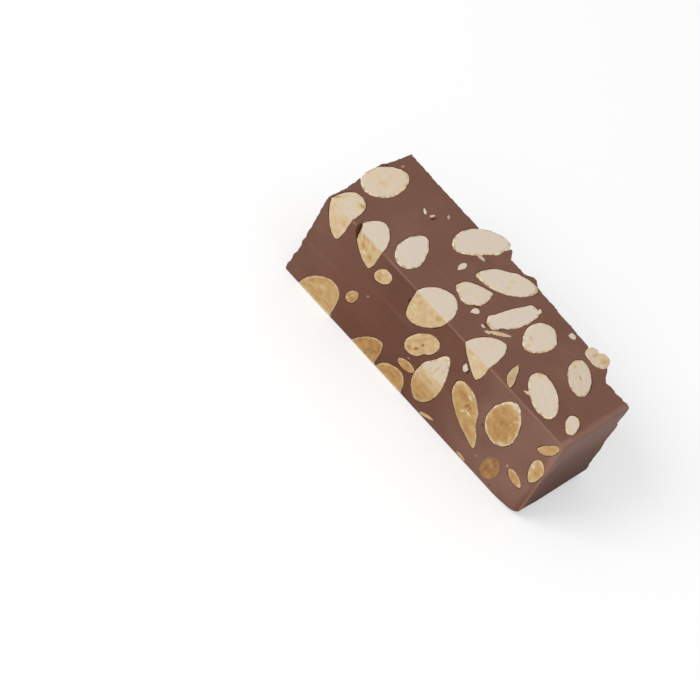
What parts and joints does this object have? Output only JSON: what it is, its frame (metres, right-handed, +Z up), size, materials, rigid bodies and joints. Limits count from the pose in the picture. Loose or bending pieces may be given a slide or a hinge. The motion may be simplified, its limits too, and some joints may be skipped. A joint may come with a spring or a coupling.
{
  "type": "nougat bar",
  "caption": "Rectangular bar of chocolate nougat with whole almonds, knife-cut on its long faces so that the almonds show as flush slices.",
  "frame": {"origin": "centre of the bounding box at the flat underside", "axes": "+X along the bar to its smooth moulded end, +Y from the front cut face to the back, +Z up from the underside to the top cut face"},
  "size_m": [0.114, 0.0452, 0.0387],
  "materials": {
    "chocolate": "smooth milk chocolate nougat with a faint satin sheen and fine knife marks",
    "almond_pale": "cut blanched almond, pale cream, matt",
    "almond_golden": "cut roasted almond, golden, slightly oily"
  },
  "bodies": {
    "root": {"chocolate": "chocolate", "almond_top_01": "almond_pale", "almond_top_02": "almond_pale", "almond_top_03": "almond_pale", "almond_top_04": "almond_pale", "almond_top_05": "almond_pale", "almond_top_06": "almond_pale", "almond_top_07": "almond_pale", "almond_top_08": "almond_pale", "almond_top_09": "almond_pale", "almond_top_10": "almond_pale", "almond_top_11": "almond_pale", "almond_top_12": "almond_pale", "almond_front_01": "almond_golden", "almond_front_02": "almond_golden", "almond_front_03": "almond_golden", "almond_front_04": "almond_golden", "almond_front_05": "almond_golden", "almond_front_06": "almond_golden", "almond_front_07": "almond_golden", "almond_front_08": "almond_golden", "almond_front_09": "almond_golden", "almond_front_10": "almond_golden", "almond_front_11": "almond_golden", "almond_back_01": "almond_golden", "almond_back_02": "almond_golden", "almond_back_03": "almond_golden", "almond_back_04": "almond_golden", "almond_back_05": "almond_golden", "almond_back_06": "almond_golden", "almond_back_07": "almond_golden", "almond_back_08": "almond_golden", "almond_bottom_01": "almond_pale", "almond_bottom_02": "almond_pale", "almond_bottom_03": "almond_pale", "almond_bottom_04": "almond_pale", "almond_bottom_05": "almond_pale", "almond_bottom_06": "almond_pale", "almond_bottom_07": "almond_pale", "almond_end_01": "almond_golden", "almond_end_02": "almond_golden", "almond_end_03": "almond_golden", "almond_edge_01": "almond_pale", "almond_edge_02": "almond_pale", "almond_edge_03": "almond_pale", "almond_edge_04": "almond_pale", "almond_edge_05": "almond_golden", "almond_edge_06": "almond_golden", "almond_edge_07": "almond_golden"}
  },
  "joints": []
}
